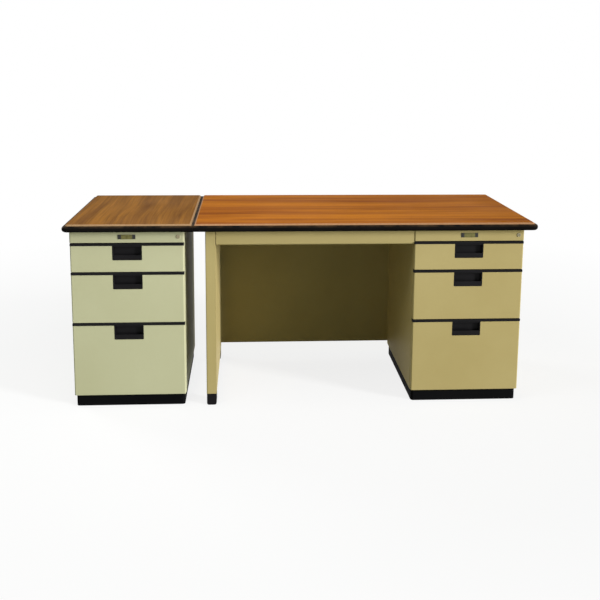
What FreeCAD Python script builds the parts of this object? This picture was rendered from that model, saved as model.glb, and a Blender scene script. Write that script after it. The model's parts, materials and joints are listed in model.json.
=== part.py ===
"""Steel pedestal desk with a butted side pedestal unit, as a parametric FreeCAD document.

Millimetres. The drawer fronts face -Y, +X is to the right and +Z is up. The origin lies on the floor,
under the middle of the two tops. Each sub-part is exported to parts/ under its label.
"""
import FreeCAD, Part
import os
import re
import Sketcher

UNITS = ("desk", "side")
DRAWERS = ("top", "middle", "file")
ENDS = ("left", "right")

# Driving sizes: alias, value in millimetres, what it is.
SIZES = (
    ("desk_top_width", 1370, "main top, over its edging"),
    ("side_top_width", 505, "side top, over its edging"),
    ("top_depth", 760, "both tops, front to back"),
    ("top_seam", 1, "gap between the two tops"),
    ("edging_width", 12, "edging outside the board"),
    ("seam_edging", 5, "flat edging outside the board along the seam"),
    ("edging_height", 24, "edging, up from the underside"),
    ("edging_flat", 1, "flat left on the edging beside its bullnose"),
    ("rim_height", 6, "bevelled rim of the board, over the edging"),
    ("tongue_thickness", 3, "edging tongue"),
    ("tongue_depth", 7, "edging tongue into the board"),
    ("tongue_play", 0.1, "tongue in its slot, all round"),
    ("tongue_corner", 6, "plan radius of the slot's inner corners"),
    ("sheet", 1, "steel sheet of the panels"),
    ("box_sheet", 0.8, "steel sheet of the drawer boxes"),
    ("bend", 2, "inner radius of a folded edge"),
    ("flange", 12, "folded return of a panel"),
    ("hem", 8, "doubled front edge of a pedestal side"),
    ("pedestal_width", 444, "desk pedestal, outside"),
    ("body_depth", 606, "drawer face to pedestal back"),
    ("front_overhang", 36, "top past the drawer faces"),
    ("desk_pedestal_inset", 49, "pedestal in from the main top's right edge"),
    ("side_pedestal_inset", 25, "pedestal in from the side top's left edge"),
    ("side_pedestal_margin", 36, "pedestal in from the side top's edge at the seam"),
    ("plinth_height", 47, "black base"),
    ("plinth_recess", 14, "base behind the drawer faces"),
    ("plinth_inset", 5, "base in from the sides and the back"),
    ("plinth_sheet", 2, "base wall"),
    ("plinth_bend", 10, "base's inner corner radius"),
    ("plinth_gap", 2, "base to the lowest drawer front"),
    ("front_thickness", 22, "drawer front, folded pan"),
    ("front_gap", 1, "drawer front to the pedestal sides' front edges"),
    ("front_side_gap", 0.8, "drawer front in from the pedestal's side"),
    ("front_bend", 4, "inner radius of a front's rounded upright edges"),
    ("front_lap", 12, "return behind a front, over the box that is welded to it"),
    ("front_lip", 12, "return along the top and foot of a front's back"),
    ("front_reveal", 2.5, "gap over a trim strip"),
    ("trim_height", 10.5, "trim strip"),
    ("trim_proud", 1.5, "trim strip past the front's face"),
    ("trim_round", 3, "trim strip's front edges"),
    ("file_front", 288, "file drawer front, below its trim"),
    ("middle_front", 193, "middle drawer front, below its trim"),
    ("top_front", 104, "top drawer front, below its trim"),
    ("rail_height", 47, "front rail under the top"),
    ("pull_width", 115, "recessed pull"),
    ("pull_height", 57, "recessed pull, down from the trim"),
    ("pull_back_gap", 3, "pull to the drawer box"),
    ("pull_proud", 0.8, "pull past the front's face"),
    ("pull_wall", 3, "pull wall and lip"),
    ("pull_lip", 20, "lip's top edge over the pull's underside"),
    ("pull_corner", 4, "pull's lower corners"),
    ("pull_scoop", 6, "rounded foot of the finger pocket"),
    ("pull_play", 0.3, "pull in the front's notch"),
    ("box_lift", 8, "drawer box over the front's lower edge"),
    ("box_drop", 6, "drawer box under the front's upper edge"),
    ("box_back_gap", 14, "drawer box to the back panel"),
    ("runner_gap", 13.6, "drawer box to the pedestal side"),
    ("runner_height", 38, "cabinet runner"),
    ("runner_lift", 12, "cabinet runner over the box's underside"),
    ("runner_sheet", 1.5, "runner steel"),
    ("runner_bend", 0.5, "runner's inner bend radius"),
    ("runner_play", 0.4, "between nested runners"),
    ("runner_setback", 4, "runner behind the hem and in front of the back panel"),
    ("leg_inset", 46, "panel leg in from the main top's left edge"),
    ("leg_width", 40, "panel leg, seen from the front"),
    ("leg_bend", 3, "inner radius of the leg's upright edges"),
    ("foot_depth", 60, "foot, front to back"),
    ("foot_inset", 0.7, "foot in from the leg's faces"),
    ("foot_corner", 8, "foot's lower corners"),
    ("foot_neck", 16, "foot's neck inside the leg"),
    ("foot_play", 0.2, "neck in the leg"),
    ("apron_height", 60, "kneehole apron"),
    ("apron_depth", 20, "kneehole apron, front to back"),
    ("apron_recess", 3, "apron behind the drawer faces"),
    ("apron_gap", 2.5, "open joint between the apron and the panel leg"),
    ("apron_bend", 7, "inner radius of the apron's edges"),
    ("modesty_flange", 15, "modesty panel's end returns"),
    ("modesty_lift", 15, "modesty panel's lower edge over the leg's"),
    ("stretcher_width", 40, "channel under a top"),
    ("stretcher_height", 16, "channel under a top"),
    ("stretcher_setback", 35, "channel to the pedestal's front and back edges"),
    ("stretcher_length", 400, "channel in the leg"),
    ("screw_spread", 240, "between the two screws of a channel"),
    ("screw_shank", 4.4, "top screw"),
    ("screw_length", 16, "top screw, under its head"),
    ("screw_head", 9, "top screw's head"),
    ("screw_head_height", 3, "top screw's head"),
    ("screw_play", 0.1, "screw in its holes, on the diameter"),
    ("link_thickness", 3, "plate under the seam"),
    ("link_depth", 40, "plate under the seam, front to back"),
    ("link_gap", 3, "plate to the leg and to the side pedestal"),
    ("link_spread", 20, "plate's screws, front to back"),
    ("link_spacing", 420, "between the two plates"),
    ("lock_inset", 22, "lock's axis from the pedestal's right side"),
    ("lock_plug", 10, "turning plug"),
    ("lock_step", 1, "turning plug's head past its shaft"),
    ("lock_wall", 0.8, "barrel outside the plug's head"),
    ("lock_ring", 1.2, "front ring past the barrel"),
    ("lock_proud", 2, "front ring past the rail"),
    ("lock_head_depth", 3, "turning plug's head"),
    ("lock_play", 0.1, "plug in its barrel, on the diameter"),
    ("lock_tail_gap", 2.5, "barrel and drawer box to the cam"),
    ("cam_thickness", 2.5, "lock cam"),
    ("cam_width", 8, "lock cam"),
    ("cam_catch", 8, "turned cam below the box's edge"),
    ("keyway_width", 1.6, "key slot"),
    ("keyway_margin", 1.5, "key slot to the edge of the plug"),
    ("keyway_depth", 12, "key slot"),
    ("badge_width", 68, "bare plate on the rail"),
    ("badge_height", 18, "bare plate on the rail"),
    ("badge_thickness", 1.2, "bare plate on the rail"),
    ("badge_corner", 2, "bare plate on the rail"),
)

# Places and sizes that follow from the driving sizes and from the lines above them.
PLACES = (
    ("top_thickness", "edging_height + rim_height"),
    ("slot_depth", "tongue_depth + tongue_play"),
    ("board_corner", "tongue_corner + slot_depth"),
    ("edging_corner", "board_corner + edging_width"),
    ("edging_round", "edging_width - edging_flat"),
    ("total_width", "side_top_width + top_seam + desk_top_width"),
    ("side_x", "-total_width / 2"),
    ("desk_x", "side_x + side_top_width + top_seam"),
    ("tops_y", "-top_depth / 2"),
    ("front_y", "tops_y + front_overhang"),
    ("back_y", "front_y + body_depth"),
    ("carcass_y", "front_y + front_thickness + front_gap"),
    ("carcass_depth", "back_y - carcass_y"),
    ("desk_pedestal_width", "pedestal_width"),
    ("side_pedestal_width", "side_top_width - side_pedestal_inset - side_pedestal_margin"),
    ("desk_pedestal_x", "desk_x + desk_top_width - desk_pedestal_inset - desk_pedestal_width"),
    ("side_pedestal_x", "side_x + side_pedestal_inset"),
    ("leg_x", "desk_x + leg_inset"),
    ("knee_x", "leg_x + leg_width"),
    ("knee_width", "desk_pedestal_x - knee_x"),
    ("file_z", "plinth_height + plinth_gap"),
    ("middle_z", "file_z + file_front + trim_height + front_reveal"),
    ("top_z", "middle_z + middle_front + trim_height + front_reveal"),
    ("rail_z", "top_z + top_front + trim_height + front_reveal"),
    ("under_top", "rail_z + rail_height"),
    ("panel_height", "under_top - plinth_height"),
    ("desk_front_width", "desk_pedestal_width - 2 * front_side_gap"),
    ("side_front_width", "side_pedestal_width - 2 * front_side_gap"),
    ("pull_depth", "front_thickness - pull_back_gap"),
    ("box_inset", "sheet + runner_gap"),
    ("front_return", "box_inset - front_side_gap + front_lap"),
    ("desk_box_width", "desk_pedestal_width - 2 * box_inset"),
    ("side_box_width", "side_pedestal_width - 2 * box_inset"),
    ("box_y", "front_y + front_thickness"),
    ("box_depth", "back_y - sheet - box_back_gap - box_y"),
    ("runner_y", "carcass_y + hem + runner_setback"),
    ("runner_length", "back_y - sheet - box_back_gap - runner_setback - runner_y"),
    ("nest_step", "runner_sheet + runner_play"),
    ("cabinet_runner_depth", "runner_gap - nest_step"),
    ("inner_runner_height", "runner_height - 2 * nest_step"),
    ("inmost_runner_height", "inner_runner_height - 2 * nest_step"),
    ("rear_stretcher_y", "back_y - stretcher_setback - stretcher_width"),
    ("front_stretcher_y", "carcass_y + stretcher_setback"),
    ("link_x", "side_pedestal_x + side_pedestal_width + link_gap"),
    ("link_width", "leg_x - link_gap - link_x"),
    ("side_slot_x", "side_x + side_top_width - seam_edging - slot_depth"),
    ("desk_slot_x", "desk_x + seam_edging + slot_depth"),
    ("lock_plug_head", "lock_plug + 2 * lock_step"),
    ("lock_body", "lock_plug_head + 2 * lock_wall"),
    ("lock_face", "lock_body + 2 * lock_ring"),
    ("keyway_height", "lock_plug - 2 * keyway_margin"),
    ("lock_z", "rail_z + rail_height / 2"),
    ("lock_tail_y", "box_y + box_sheet + lock_tail_gap"),
    ("top_box_rim", "top_z + top_front - box_drop"),
    ("cam_length", "lock_z - top_box_rim + cam_catch"),
)

DOC = FreeCAD.newDocument("PedestalDesk")
PREFIXES = {name: "Sizes" for name, _, _ in SIZES}
PREFIXES.update({name: "Places" for name, _ in PLACES})

# Origin plane of a body, and whether a pad on it must be reversed to grow along its plus axis.
PLANES = {"XY": ("XY_Plane", False), "XZ": ("XZ_Plane", True), "YZ": ("YZ_Plane", False)}


def bound(text):
    """Turn plain names in an expression into references to the two value objects."""
    return re.sub(r"[a-z_]+", lambda word: f"{PREFIXES[word.group()]}.{word.group()}", str(text))


def number(text):
    """Value of an expression now, for a sketch's first guess."""
    return float(SHEET.evalExpression(bound(text)))


def make_sheet():
    """Spreadsheet with the driving sizes, one alias a row."""
    sheet = DOC.addObject("Spreadsheet::Sheet", "Sizes")
    for row, (name, value, meaning) in enumerate(SIZES, start=1):
        sheet.set(f"A{row}", name)
        sheet.set(f"B{row}", str(value))
        sheet.setAlias(f"B{row}", name)
        sheet.set(f"C{row}", meaning)
    DOC.recompute()
    return sheet


def make_places():
    """Value set with the places that follow from the driving sizes."""
    places = DOC.addObject("App::VarSet", "Places")
    for name, text in PLACES:
        places.addProperty("App::PropertyFloat", name, "Places", "")
        places.setExpression(name, bound(text))
    DOC.recompute()


def place(piece, x, y, z):
    """Bind the placement of a piece."""
    for axis, text in zip("xyz", (x, y, z)):
        piece.setExpression(f"Placement.Base.{axis}", bound(text))


def pin(sketch, line, end, u, v):
    """Fix one end of a sketch line at bound coordinates."""
    for kind, text in (("DistanceX", u), ("DistanceY", v)):
        rule = sketch.addConstraint(Sketcher.Constraint(kind, -1, 1, line, end, number(text)))
        sketch.setExpression(f"Constraints[{rule}]", bound(text))


def heading(start, end):
    """Direction of an axis-parallel edge between two corners."""
    step = [number(end[0]) - number(start[0]), number(end[1]) - number(start[1])]
    return [(value > 1e-9) - (value < -1e-9) for value in step]


def draw_outline(sketch, corners):
    """Draw a closed outline of axis-parallel edges.

    Each corner is (u, v) or (u, v, radius), in expressions. A radius becomes a tangent arc.
    """
    count = len(corners)
    ins = [heading(corners[i - 1], corners[i]) for i in range(count)]
    outs = ins[1:] + ins[:1]
    entries, exits = [], []
    for corner, before, after in zip(corners, ins, outs):
        radius = corner[2] if len(corner) > 2 else 0
        entries.append([f"({corner[k]}) - ({radius}) * ({before[k]})" for k in (0, 1)])
        exits.append([f"({corner[k]}) + ({radius}) * ({after[k]})" for k in (0, 1)])
    lines = []
    for i in range(count):
        start, end = exits[i], entries[(i + 1) % count]
        ends = [FreeCAD.Vector(number(point[0]), number(point[1]), 0) for point in (start, end)]
        line = sketch.addGeometry(Part.LineSegment(*ends))
        pin(sketch, line, 1, *start)
        pin(sketch, line, 2, *end)
        lines.append(line)
    for i, corner in enumerate(corners):
        if len(corner) > 2:
            draw_arc(sketch, corner, ins[i], outs[i], lines[i - 1], lines[i])


def draw_arc(sketch, corner, before, after, line_in, line_out):
    """Round one corner between two lines that already stop at its tangent points."""
    radius = number(corner[2])
    middle = [number(corner[k]) + radius * (after[k] - before[k]) for k in (0, 1)]
    entry = FreeCAD.Vector(-after[0], -after[1], 0)
    leave = FreeCAD.Vector(before[0], before[1], 0)
    turns_left = before[0] * after[1] - before[1] * after[0] > 0
    start, end = (entry, leave) if turns_left else (leave, entry)
    circle = Part.Circle(FreeCAD.Vector(middle[0], middle[1], 0), FreeCAD.Vector(0, 0, 1), radius)
    angles = [circle.parameter(circle.Center + point * radius) for point in (start, end)]
    arc = sketch.addGeometry(Part.ArcOfCircle(circle, *angles))
    arc_in, arc_out = (1, 2) if turns_left else (2, 1)
    sketch.addConstraint(Sketcher.Constraint("Coincident", arc, arc_in, line_in, 2))
    sketch.addConstraint(Sketcher.Constraint("Coincident", arc, arc_out, line_out, 1))
    rule = sketch.addConstraint(Sketcher.Constraint("Radius", arc, radius))
    sketch.setExpression(f"Constraints[{rule}]", bound(corner[2]))


def add_sketch(body, name, plane, outlines, start="0"):
    """Sketch of closed outlines on an origin plane of the body, moved along its plus axis."""
    role, reverse = PLANES[plane]
    sketch = body.newObject("Sketcher::SketchObject", name)
    face = next(item for item in body.Origin.OriginFeatures if item.Role == role)
    sketch.AttachmentSupport = [(face, "")]
    sketch.MapMode = "FlatFace"
    sign = "-1" if reverse else "1"
    sketch.setExpression("AttachmentOffset.Base.z", bound(f"{sign} * ({start})"))
    for outline in outlines:
        draw_outline(sketch, outline)
    return sketch


def add_pad(body, name, plane, outlines, length, start="0"):
    """Pad that grows along the plane's plus axis."""
    sketch = add_sketch(body, f"{name}_sketch", plane, outlines, start)
    pad = body.newObject("PartDesign::Pad", name)
    pad.Profile = sketch
    pad.Reversed = PLANES[plane][1]
    pad.setExpression("Length", bound(length))
    return pad


def add_pocket(body, name, plane, outlines, length, start="0"):
    """Pocket that cuts along the plane's plus axis."""
    sketch = add_sketch(body, f"{name}_sketch", plane, outlines, start)
    pocket = body.newObject("PartDesign::Pocket", name)
    pocket.Profile = sketch
    pocket.Reversed = not PLANES[plane][1]
    pocket.setExpression("Length", bound(length))
    return pocket


def padded(label, plane, outlines, length, at):
    """New body made of one pad."""
    body = DOC.addObject("PartDesign::Body", label)
    add_pad(body, f"{label}_pad", plane, outlines, length)
    place(body, *at)
    return body


def turned(label, outline, at):
    """New body turned round the Y axis from (radius, y) corners."""
    body = DOC.addObject("PartDesign::Body", label)
    sketch = add_sketch(body, f"{label}_sketch", "XY", [outline])
    turning = body.newObject("PartDesign::Revolution", f"{label}_turning")
    turning.Profile = sketch
    turning.ReferenceAxis = (sketch, ["V_Axis"])
    place(body, *at)
    return body


def rectangle(u, v, width, height, *radii):
    """Outline of a rectangle. Radii go round from the lower left corner, or one serves all."""
    corners = [(u, v), (f"{u} + {width}", v), (f"{u} + {width}", f"{v} + {height}"), (u, f"{v} + {height}")]
    radii = radii * 4 if len(radii) == 1 else radii
    for i, radius in enumerate(radii):
        if radius:
            corners[i] = corners[i] + (radius,)
    return corners


def channel(web, flange, thick, bend, opens):
    """Outline of a folded channel that opens up, down, left or right. The bend is its inner radius."""
    outer = f"{bend} + {thick}"
    corners = [("0", "0", outer), (web, "0", outer), (web, flange), (f"{web} - {thick}", flange),
               (f"{web} - {thick}", thick, bend), (thick, thick, bend), (thick, flange), ("0", flange)]
    if opens in ("down", "left"):
        corners = [(u, f"{flange} - ({v})", *radius) for u, v, *radius in corners]
    if opens in ("left", "right"):
        corners = [(v, u, *radius) for u, v, *radius in corners]
    return corners


def box(label, at, size):
    """Plain block."""
    block = DOC.addObject("Part::Box", label)
    for edge, text in zip(("Length", "Width", "Height"), size):
        block.setExpression(edge, bound(text))
    place(block, *at)
    return block


def rod(label, at, diameter, height):
    """Upright cylinder on its centre point."""
    cylinder = DOC.addObject("Part::Cylinder", label)
    cylinder.setExpression("Radius", bound(f"({diameter}) / 2"))
    cylinder.setExpression("Height", bound(height))
    place(cylinder, *at)
    return cylinder


def group(label, pieces):
    """Several separate solids in one node."""
    bundle = DOC.addObject("Part::Compound", label)
    bundle.Links = pieces
    return bundle


def cut(label, base, tool):
    """One shape cut out of another."""
    result = DOC.addObject("Part::Cut", label)
    result.Base = base
    result.Tool = tool
    return result


def drilled(label, base, points, z, depth):
    """Base with upright screw holes."""
    holes = [rod(f"{label}_hole", (x, y, z), "screw_shank + screw_play", depth) for x, y in points]
    return cut(label, base, group(f"{label}_holes", holes))


def outer_edges(feature, heights, seam=None):
    """Names of the level edges at the given heights on the plane y = 0 and on a seam's plane x = seam."""
    names = []
    for i, edge in enumerate(feature.Shape.Edges, start=1):
        spot = edge.BoundBox
        level = spot.ZLength < 1e-6 and any(abs(spot.ZMin - height) < 1e-6 for height in heights)
        beside = seam is not None and max(abs(spot.XMin - seam), abs(spot.XMax - seam)) < 1e-6
        if level and (spot.YMax < 1e-6 or beside):
            names.append(f"Edge{i}")
    return names


def seam_square(unit, radius):
    """Corner radii of a top's outline, whose two corners at the seam stay square."""
    return (radius, None, None, radius) if unit == "side" else (None, radius, radius, None)


def left_edging(unit):
    """Width of the edging at the left end of a top, which is the desk's seam."""
    return "edging_width" if unit == "side" else "seam_edging"


# Fixing points under the tops


def stretcher_points(unit):
    """Screws through the two channels of a pedestal."""
    middle = f"{unit}_pedestal_x + {unit}_pedestal_width / 2"
    rows = [f"{row}_stretcher_y + stretcher_width / 2" for row in ("front", "rear")]
    return [(f"{middle} {sign} screw_spread / 2", y) for y in rows for sign in "-+"]


def leg_points():
    """Screws through the channel in the panel leg."""
    return [("leg_x + leg_width / 2", f"front_y + body_depth / 2 {sign} screw_spread / 2") for sign in "-+"]


def link_points(unit):
    """Screws through the two link plates into one of the tops."""
    x = "(link_x + side_slot_x) / 2" if unit == "side" else "(link_x + link_width + desk_slot_x) / 2"
    rows = [f"front_y + body_depth / 2 {sign} link_spacing / 2" for sign in "-+"]
    return [(x, f"{row} {sign} link_spread / 2") for row in rows for sign in "-+"]


def top_points(unit):
    """Every screw into one top."""
    points = stretcher_points(unit) + link_points(unit)
    return points + leg_points() if unit == "desk" else points


# Tops


def make_top_board(unit):
    """Laminated board with a bevelled rim, a slot round its edge and pilot holes below."""
    width = f"{unit}_top_width - edging_width - seam_edging"
    depth = "top_depth - 2 * edging_width"
    label = f"{unit}_top_board"
    outer = rectangle("0", "0", width, depth, *seam_square(unit, "board_corner"))
    at = (f"{unit}_x + {left_edging(unit)}", "tops_y + edging_width", "under_top")
    blank = padded(f"{label}_blank", "XY", [outer], "top_thickness", at)
    DOC.recompute()
    seam = number(width) if unit == "side" else 0
    rim = (blank.Tip, outer_edges(blank.Tip, [number("top_thickness")], seam))
    bevel = blank.newObject("PartDesign::Chamfer", f"{label}_bevel")
    bevel.Base = rim
    bevel.setExpression("Size", bound("rim_height"))
    inner = rectangle("slot_depth", "slot_depth", f"{width} - 2 * slot_depth", f"{depth} - 2 * slot_depth",
                      "tongue_corner")
    add_pocket(blank, f"{label}_slot", "XY", [outer, inner], "tongue_thickness + 2 * tongue_play",
               "(edging_height - tongue_thickness) / 2 - tongue_play")
    holes = "screw_length + screw_play"
    return drilled(label, blank, top_points(unit), "under_top - screw_play", holes)


def make_top_edging(unit):
    """Strip round a board, flat at the seam and bullnosed elsewhere, with a tongue in the board's slot."""
    width = f"{unit}_top_width"
    left = left_edging(unit)
    inside = f"{width} - edging_width - seam_edging"
    inside_depth = "top_depth - 2 * edging_width"
    label = f"{unit}_top_edging"
    outer = rectangle("0", "0", width, "top_depth", *seam_square(unit, "edging_corner"))
    corners = seam_square(unit, "board_corner")
    inner = rectangle(left, "edging_width", inside, inside_depth, *corners)
    body = padded(label, "XY", [outer, inner], "edging_height", (f"{unit}_x", "tops_y", "under_top"))
    DOC.recompute()
    edges = (body.Tip, outer_edges(body.Tip, [0, number("edging_height")]))
    nose = body.newObject("PartDesign::Fillet", f"{label}_nose")
    nose.Base = edges
    nose.setExpression("Radius", bound("edging_round"))
    tongue = rectangle(f"{left} + tongue_depth", "edging_width + tongue_depth",
                       f"{inside} - 2 * tongue_depth", f"{inside_depth} - 2 * tongue_depth",
                       "tongue_corner + tongue_play")
    add_pad(body, f"{label}_tongue", "XY", [inner, tongue], "tongue_thickness",
            "(edging_height - tongue_thickness) / 2")
    return body


# Panel leg, apron and modesty panel


def make_leg():
    """Folded outer pan, flat inner panel and two feet."""
    fold = channel("body_depth", "leg_width - sheet", "sheet", "leg_bend", "right")
    pan = padded("leg_outer_pan", "XY", [fold], "panel_height", ("leg_x", "front_y", "plinth_height"))
    panel = box("leg_inner_panel", ("knee_x - sheet", "front_y", "plinth_height"),
                ("sheet", "body_depth", "panel_height"))
    front = make_foot("front_foot", "front_y + foot_inset")
    rear = make_foot("rear_foot", "back_y - foot_inset - foot_depth")
    return [pan, panel, group("leg_feet", [front, rear])]


def make_foot(label, y):
    """Black foot with a neck inside the leg's open end."""
    width = "leg_width - 2 * foot_inset"
    outline = rectangle("0", "0", width, "plinth_height", "foot_corner", "foot_corner", None, None)
    body = padded(label, "XZ", [outline], "foot_depth", ("leg_x + foot_inset", y, "0"))
    inset = "sheet + foot_play - foot_inset"
    neck = rectangle(inset, inset, f"{width} - 2 * ({inset})", f"foot_depth - 2 * ({inset})", "leg_bend")
    add_pad(body, f"{label}_neck", "XY", [neck], "foot_neck", "plinth_height")
    return body


def make_apron():
    """Folded channel under the top across the kneehole, open to the back."""
    fold = channel("apron_height", "apron_depth", "sheet", "apron_bend", "right")
    at = ("knee_x + apron_gap", "front_y + apron_recess", "under_top - apron_height")
    return padded("kneehole_apron", "YZ", [fold], "knee_width - apron_gap", at)


def make_modesty_panel():
    """Folded panel that closes the back of the kneehole."""
    fold = channel("knee_width", "modesty_flange", "sheet", "bend", "down")
    at = ("knee_x", "back_y - modesty_flange", "plinth_height + modesty_lift")
    return padded("modesty_panel", "XY", [fold], "panel_height - modesty_lift", at)


# Pedestals


def make_side_panel(unit, end):
    """Pedestal side with its front edge folded double."""
    hemmed = "2 * sheet"
    corners = [("0", "0"), (hemmed, "0"), (hemmed, "hem"), ("sheet", "hem"), ("sheet", "carcass_depth"),
               ("0", "carcass_depth")]
    x = f"{unit}_pedestal_x"
    if end == "right":
        corners = [(f"{hemmed} - ({u})", v) for u, v in corners]
        x = f"{x} + {unit}_pedestal_width - {hemmed}"
    at = (x, "carcass_y", "plinth_height")
    return padded(f"{unit}_{end}_side", "XY", [corners], "panel_height", at)


def make_back_panel(unit):
    """Folded panel between the two sides."""
    fold = channel(f"{unit}_pedestal_width - 2 * sheet", "flange", "sheet", "bend", "down")
    at = (f"{unit}_pedestal_x + sheet", "back_y - flange", "plinth_height")
    return padded(f"{unit}_back_panel", "XY", [fold], "panel_height", at)


def make_floor_pan(unit):
    """Folded floor between the sides, on the plinth."""
    fold = channel(f"{unit}_pedestal_width - 2 * sheet", "flange", "sheet", "bend", "up")
    at = (f"{unit}_pedestal_x + sheet", "carcass_y + hem + front_gap", "plinth_height")
    length = "carcass_depth - hem - 2 * front_gap - flange"
    return padded(f"{unit}_floor_pan", "XZ", [fold], length, at)


def make_front_rail(unit):
    """Folded rail under the top, with the lock's hole."""
    label = f"{unit}_front_rail"
    width = f"{unit}_pedestal_width"
    body = front_pan(label, unit, "0", width, "carcass_y - front_y", "rail_z", "rail_height")
    half = "(lock_body + lock_play) / 2"
    x = f"{width} - lock_inset"
    hole = rectangle(f"{x} - {half}", f"rail_height / 2 - {half}", f"2 * {half}", f"2 * {half}",
                     f"{half} - lock_play")
    add_pocket(body, f"{label}_lock_hole", "XZ", [hole], "carcass_y - front_y")
    return body


def front_pan(label, unit, inset, width, depth, z, height):
    """Hollow folded front with rounded upright edges and narrow returns round its open back."""
    fold = "front_bend + sheet"
    outline = rectangle("0", "0", width, depth, fold, fold, None, None)
    at = (f"{unit}_pedestal_x + {inset}", "front_y", z)
    body = padded(label, "XY", [outline], height, at)
    hollow = rectangle("sheet", "sheet", f"{width} - 2 * sheet", f"{depth} - 2 * sheet", "front_bend",
                       "front_bend", None, None)
    add_pocket(body, f"{label}_hollow", "XY", [hollow], f"{height} - 2 * sheet", "sheet")
    opening = rectangle("front_return", "front_lip", f"{width} - 2 * front_return",
                        f"{height} - 2 * front_lip")
    add_pocket(body, f"{label}_opening", "XZ", [opening], "2 * sheet", f"{depth} - 2 * sheet")
    return body


def make_plinth(unit):
    """Black base ring under a pedestal."""
    width = f"{unit}_pedestal_width - 2 * plinth_inset"
    depth = "body_depth - plinth_recess - plinth_inset"
    wall = "plinth_sheet"
    outer = rectangle("0", "0", width, depth, f"plinth_bend + {wall}")
    inner = rectangle(wall, wall, f"{width} - 2 * {wall}", f"{depth} - 2 * {wall}", "plinth_bend")
    at = (f"{unit}_pedestal_x + plinth_inset", "front_y + plinth_recess", "0")
    return padded(f"{unit}_plinth", "XY", [outer, inner], "plinth_height", at)


# Channels, plates and screws under the tops


def make_stretchers():
    """Channels under the tops: two across each pedestal and one in the leg, with screw holes."""
    pieces = []
    fold = channel("stretcher_width", "stretcher_height", "sheet", "bend", "down")
    for unit in UNITS:
        length = f"{unit}_pedestal_width - 2 * sheet"
        for row in ("front", "rear"):
            at = (f"{unit}_pedestal_x + sheet", f"{row}_stretcher_y", "under_top - stretcher_height")
            pieces.append(padded(f"{unit}_{row}_stretcher", "YZ", [fold], length, at))
    fold = channel("leg_width - 2 * sheet", "stretcher_height", "sheet", "bend", "down")
    at = ("leg_x + sheet", "front_y + (body_depth - stretcher_length) / 2", "under_top - stretcher_height")
    pieces.append(padded("leg_stretcher", "XZ", [fold], "stretcher_length", at))
    points = stretcher_points("desk") + stretcher_points("side") + leg_points()
    return drilled("top_stretchers", group("stretcher_blanks", pieces), points,
                   "under_top - stretcher_height", "stretcher_height")


def make_link_plates():
    """Flat plates that join the two tops across their seam."""
    plates = []
    for sign in "-+":
        y = f"front_y + body_depth / 2 {sign} link_spacing / 2 - link_depth / 2"
        plates.append(box("link_plate", ("link_x", y, "under_top - link_thickness"),
                          ("link_width", "link_depth", "link_thickness")))
    points = link_points("desk") + link_points("side")
    return drilled("link_plates", group("link_plate_blanks", plates), points,
                   "under_top - link_thickness", "link_thickness")


def make_screws():
    """All screws into the tops, as one group."""
    thin = stretcher_points("desk") + stretcher_points("side") + leg_points()
    thick = link_points("desk") + link_points("side")
    screws = []
    for points, grip in ((thin, "sheet"), (thick, "link_thickness")):
        for x, y in points:
            foot = (x, y, f"under_top - {grip} - screw_head_height")
            head = rod("screw_head", foot, "screw_head", "screw_head_height")
            shank = rod("screw_shank", foot, "screw_shank", "screw_length + screw_head_height - screw_play")
            screw = DOC.addObject("Part::Fuse", "top_screw")
            screw.Base = head
            screw.Tool = shank
            screws.append(screw)
    return group("top_screws", screws)


# Locks and bare plates on the rails


def make_lock_barrel(unit):
    """Fixed barrel in a rail, with a ring on its face."""
    face = "lock_face / 2"
    seat = "(lock_plug_head + lock_play) / 2"
    bore = "(lock_plug + lock_play) / 2"
    body = "lock_body / 2"
    tail = "lock_proud + lock_tail_y - lock_tail_gap - front_y"
    corners = [(bore, "lock_head_depth"), (seat, "lock_head_depth"), (seat, "0"), (face, "0"),
               (face, "lock_proud"), (body, "lock_proud"), (body, tail), (bore, tail)]
    return turned(f"{unit}_lock_barrel", corners, lock_place(unit))


def lock_place(unit):
    """Front end of a lock's axis."""
    return (f"{unit}_pedestal_x + {unit}_pedestal_width - lock_inset", "front_y - lock_proud", "lock_z")


def make_lock_plug(unit):
    """Turning plug with a key slot and a cam behind the barrel."""
    label = f"{unit}_lock_plug"
    head = "lock_plug_head / 2"
    shaft = "lock_plug / 2"
    step = "lock_head_depth - lock_play"
    cam_start = "lock_proud + lock_tail_y - front_y"
    end = f"{cam_start} + cam_thickness"
    corners = [("0", "0"), (head, "0"), (head, step), (shaft, step), (shaft, end), ("0", end)]
    body = turned(label, corners, lock_place(unit))
    cam = rectangle("-cam_length", "-cam_width / 2", "cam_length", "cam_width", "cam_width / 4", None, None,
                    "cam_width / 4")
    add_pad(body, f"{label}_cam", "XZ", [cam], "cam_thickness", cam_start)
    slot = rectangle("-keyway_width / 2", "-keyway_height / 2", "keyway_width", "keyway_height")
    add_pocket(body, f"{label}_keyway", "XZ", [slot], "keyway_depth")
    return body


def make_badge(unit):
    """Bare plate in the middle of a rail."""
    outline = rectangle("0", "0", "badge_width", "badge_height", "badge_corner")
    at = (f"{unit}_pedestal_x + ({unit}_pedestal_width - badge_width) / 2", "front_y - badge_thickness",
          "rail_z + (rail_height - badge_height) / 2")
    return padded(f"{unit}_badge", "XZ", [outline], "badge_thickness", at)


# Drawers and their runners


def make_drawer_front(unit, drawer):
    """Folded front with a notch for the pull."""
    label = f"{unit}_{drawer}_drawer_front"
    height = f"{drawer}_front"
    width = f"{unit}_front_width"
    body = front_pan(label, unit, "front_side_gap", width, "front_thickness", f"{drawer}_z", height)
    notch_width = "pull_width + 2 * pull_play"
    notch_height = "pull_height + pull_play"
    notch = rectangle(f"({width} - ({notch_width})) / 2", f"{height} - ({notch_height})", notch_width,
                      notch_height, "pull_corner", "pull_corner", None, None)
    add_pocket(body, f"{label}_notch", "XZ", [notch], "front_thickness")
    return body


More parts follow.
